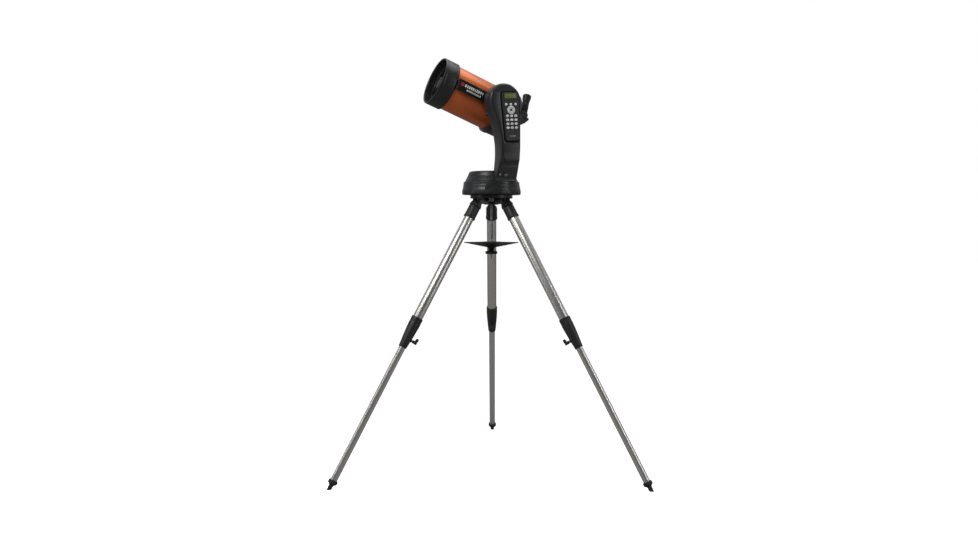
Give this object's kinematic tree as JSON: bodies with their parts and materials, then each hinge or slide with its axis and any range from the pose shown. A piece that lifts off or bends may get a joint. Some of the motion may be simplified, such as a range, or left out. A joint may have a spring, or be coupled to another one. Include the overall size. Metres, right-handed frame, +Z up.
{
  "type": "schmidt-cassegrain telescope",
  "caption": "Schmidt-Cassegrain telescope on a motorised single-arm altazimuth mount with a hand control and a folding, height-adjustable steel tripod.",
  "frame": {"origin": "on the tripod's vertical axis, in the plane that the three feet stand on", "axes": "+Z up along the azimuth axis; +Y towards the rear leg; the tube points towards -X, a little towards -Y, and up"},
  "size_m": [1.1766, 1.0236, 1.588],
  "materials": {
    "cast_black": "satin black over a casting",
    "zinc_steel": "zinc-plated",
    "knob_grey": "grey moulding",
    "moulded_black": "fine-textured moulding",
    "stainless": "polished along the tube",
    "foot_rubber": "matt",
    "shell_plastic": "satin textured moulding",
    "gear_brass": "machined",
    "turned_aluminium": "turned",
    "holder_grey": "moulded holder with its cells",
    "switch_plastic": "gloss",
    "cell_paint": "satin black paint",
    "handset_plastic": "soft matt",
    "display_green": "yellow-green liquid crystal display",
    "key_white": "translucent silicone",
    "tube_orange": "gloss metallic copper orange",
    "corrector_glass": "coated optical glass",
    "anodised_black": "black anodised",
    "mirror_coat": "aluminised",
    "baffle_black": "flat black",
    "knob_rubber": "ribbed rubber"
  },
  "bodies": {
    "tripod": {"tripod_head": "cast_black", "hinge_bolts": "zinc_steel", "centre_rod": "zinc_steel", "base_plate": "cast_black", "base_housing": "shell_plastic", "azimuth_gear": "gear_brass"},
    "mount_knob_front": {"mount_knob_front": "knob_grey"},
    "mount_knob_left": {"mount_knob_left": "knob_grey"},
    "mount_knob_right": {"mount_knob_right": "knob_grey"},
    "tray": {"spreader_tray": "moulded_black"},
    "tray_knob": {"tray_knob": "moulded_black"},
    "rear_leg": {"rear_bracket": "moulded_black", "rear_upper_tube": "stainless", "rear_collar": "moulded_black"},
    "rear_extension": {"rear_lower_tube": "stainless", "rear_foot": "foot_rubber"},
    "rear_lock": {"rear_lock": "moulded_black"},
    "left_leg": {"left_bracket": "moulded_black", "left_upper_tube": "stainless", "left_collar": "moulded_black"},
    "left_extension": {"left_lower_tube": "stainless", "left_foot": "foot_rubber"},
    "left_lock": {"left_lock": "moulded_black"},
    "right_leg": {"right_bracket": "moulded_black", "right_upper_tube": "stainless", "right_collar": "moulded_black"},
    "right_extension": {"right_lower_tube": "stainless", "right_foot": "foot_rubber"},
    "right_lock": {"right_lock": "moulded_black"},
    "mount": {"turntable": "turned_aluminium", "base_dome": "shell_plastic", "battery_pack": "holder_grey", "drive_motors": "zinc_steel", "arm_inner_shell": "shell_plastic", "arm_outer_shell": "shell_plastic"},
    "azimuth_worm": {"azimuth_worm": "zinc_steel"},
    "battery_cover": {"battery_cover": "shell_plastic"},
    "power_switch": {"power_switch": "switch_plastic"},
    "cradle": {"saddle": "cell_paint", "altitude_gear": "gear_brass"},
    "altitude_worm": {"altitude_worm": "zinc_steel"},
    "clamp_knob": {"clamp_knob": "moulded_black"},
    "tube": {"dovetail_bar": "cell_paint", "optical_tube": "tube_orange", "front_cell": "cell_paint", "corrector_plate": "corrector_glass", "retaining_ring": "anodised_black", "secondary_holder": "moulded_black", "rear_cell": "cell_paint", "baffle_tube": "baffle_black", "visual_back": "anodised_black"},
    "focus_knob": {"focus_knob": "knob_rubber"},
    "mirror": {"primary_mirror": "mirror_coat"},
    "diagonal": {"diagonal": "moulded_black"},
    "eyepiece": {"eyepiece": "anodised_black"},
    "handset": {"hand_control": "handset_plastic", "display_window": "display_green"},
    "menu_keys": {"menu_keys": "key_white"},
    "direction_keys": {"direction_keys": "key_white"},
    "number_keys": {"number_keys": "key_white"}
  },
  "joints": [
    {"name": "rear_leg_fold", "type": "hinge", "parent": "tripod", "child": "rear_leg", "pos_m": [0, 0.06, 1.046], "axis": [-1, 0, 0], "range_deg": [0, 22]},
    {"name": "rear_leg_extend", "type": "slide", "parent": "rear_leg", "child": "rear_extension", "axis": [0, 0.5038, -0.8638], "range_m": [-0.37, 0.12]},
    {"name": "rear_lock_turn", "type": "hinge", "parent": "rear_leg", "child": "rear_lock", "pos_m": [0, 0.36119, 0.52953], "axis": [0, -0.8638, -0.5038], "range_deg": [0, 720]},
    {"name": "left_leg_fold", "type": "hinge", "parent": "tripod", "child": "left_leg", "pos_m": [-0.05196, -0.03, 1.046], "axis": [0.5, -0.866, 0], "range_deg": [0, 22]},
    {"name": "left_leg_extend", "type": "slide", "parent": "left_leg", "child": "left_extension", "axis": [-0.4363, -0.2519, -0.8638], "range_m": [-0.37, 0.12]},
    {"name": "left_lock_turn", "type": "hinge", "parent": "left_leg", "child": "left_lock", "pos_m": [-0.3128, -0.1806, 0.52953], "axis": [0.7481, 0.4319, -0.5038], "range_deg": [0, 720]},
    {"name": "right_leg_fold", "type": "hinge", "parent": "tripod", "child": "right_leg", "pos_m": [0.05196, -0.03, 1.046], "axis": [0.5, 0.866, 0], "range_deg": [0, 22]},
    {"name": "right_leg_extend", "type": "slide", "parent": "right_leg", "child": "right_extension", "axis": [0.4363, -0.2519, -0.8638], "range_m": [-0.37, 0.12]},
    {"name": "right_lock_turn", "type": "hinge", "parent": "right_leg", "child": "right_lock", "pos_m": [0.3128, -0.1806, 0.52953], "axis": [-0.7481, 0.4319, -0.5038], "range_deg": [0, 720]},
    {"name": "tray_turn", "type": "hinge", "parent": "tripod", "child": "tray", "pos_m": [0, 0, 0.887], "axis": [0, 0, 1], "range_deg": [0, 60.01]},
    {"name": "tray_knob_turn", "type": "hinge", "parent": "tripod", "child": "tray_knob", "pos_m": [0, 0, 0.85], "axis": [0, 0, 1], "range_deg": [-1800, 0]},
    {"name": "mount_knob_front_turn", "type": "hinge", "parent": "tripod", "child": "mount_knob_front", "pos_m": [0, -0.043, 1.05], "axis": [0, 0, -1], "range_deg": [-1440, 0]},
    {"name": "mount_knob_left_turn", "type": "hinge", "parent": "tripod", "child": "mount_knob_left", "pos_m": [-0.03724, 0.0215, 1.05], "axis": [0, 0, -1], "range_deg": [-1440, 0]},
    {"name": "mount_knob_right_turn", "type": "hinge", "parent": "tripod", "child": "mount_knob_right", "pos_m": [0.03724, 0.0215, 1.05], "axis": [0, 0, -1], "range_deg": [-1440, 0]},
    {"name": "azimuth", "type": "hinge", "parent": "tripod", "child": "mount", "pos_m": [0, 0, 1.1195], "axis": [0, 0, 1], "continuous": true},
    {"name": "azimuth_worm_turn", "type": "hinge", "parent": "mount", "child": "azimuth_worm", "pos_m": [0.06052, 0.02707, 1.097], "axis": [0.4083, -0.9128, 0], "continuous": true},
    {"name": "battery_cover_lift", "type": "slide", "parent": "mount", "child": "battery_cover", "axis": [0, 0, 1], "range_m": [0, 0.04]},
    {"name": "power_switch_rock", "type": "hinge", "parent": "mount", "child": "power_switch", "pos_m": [0.04892, -0.10201, 1.1435], "axis": [-0.9128, -0.4083, 0], "range_deg": [0, 14]},
    {"name": "altitude", "type": "hinge", "parent": "mount", "child": "cradle", "pos_m": [0.03062, -0.06846, 1.416], "axis": [-0.4083, 0.9128, 0], "range_deg": [-36.6, 68.4]},
    {"name": "altitude_worm_turn", "type": "hinge", "parent": "mount", "child": "altitude_worm", "pos_m": [0.0392, -0.08763, 1.3697], "axis": [-0.9128, -0.4083, 0], "range_deg": [-2196.01, 4104.01]},
    {"name": "clamp_knob_turn", "type": "hinge", "parent": "cradle", "child": "clamp_knob", "pos_m": [-0.00714, -0.06564, 1.38617], "axis": [-0.336, -0.1503, -0.9298], "range_deg": [-1080, 0]},
    {"name": "tube_slide", "type": "slide", "parent": "cradle", "child": "tube", "axis": [-0.8487, -0.3797, 0.3681], "range_m": [-0.06, 0.008]},
    {"name": "focus_turn", "type": "hinge", "parent": "tube", "child": "focus_knob", "pos_m": [0.05299, 0.12043, 1.34726], "axis": [0.8487, 0.3797, -0.3681], "range_deg": [-2880.5, 3840.5]},
    {"name": "mirror_slide", "type": "slide", "parent": "tube", "child": "mirror", "axis": [-0.8487, -0.3797, 0.3681], "range_m": [-0.006, 0.008]},
    {"name": "diagonal_turn", "type": "hinge", "parent": "tube", "child": "diagonal", "pos_m": [0.11794, 0.09691, 1.35771], "axis": [-0.8487, -0.3797, 0.3681], "range_deg": [-60, 60]},
    {"name": "eyepiece_slide", "type": "slide", "parent": "diagonal", "child": "eyepiece", "axis": [0.1805, 0.4464, 0.8764], "range_m": [0, 0.022]},
    {"name": "handset_lift", "type": "slide", "parent": "mount", "child": "handset", "axis": [0.4083, -0.9128, 0], "range_m": [0, 0.06]},
    {"name": "menu_keys_press", "type": "slide", "parent": "handset", "child": "menu_keys", "axis": [-0.4083, 0.9128, 0], "range_m": [0, 0.001], "stiffness_N_per_m": 300, "springref_m": -0.001},
    {"name": "direction_keys_press", "type": "slide", "parent": "handset", "child": "direction_keys", "axis": [-0.4083, 0.9128, 0], "range_m": [0, 0.001], "stiffness_N_per_m": 300, "springref_m": -0.001},
    {"name": "number_keys_press", "type": "slide", "parent": "handset", "child": "number_keys", "axis": [-0.4083, 0.9128, 0], "range_m": [0, 0.001], "stiffness_N_per_m": 300, "springref_m": -0.001}
  ],
  "couplings": [
    {"joint": "left_leg_fold", "follows": "rear_leg_fold", "ratio": 1},
    {"joint": "right_leg_fold", "follows": "rear_leg_fold", "ratio": 1},
    {"joint": "tray_turn", "follows": "rear_leg_fold", "ratio": 2.7273},
    {"joint": "azimuth_worm_turn", "follows": "azimuth", "ratio": 96},
    {"joint": "altitude_worm_turn", "follows": "altitude", "ratio": 60},
    {"joint": "focus_turn", "follows": "mirror_slide", "rad_per_m": 8377.6}
  ]
}
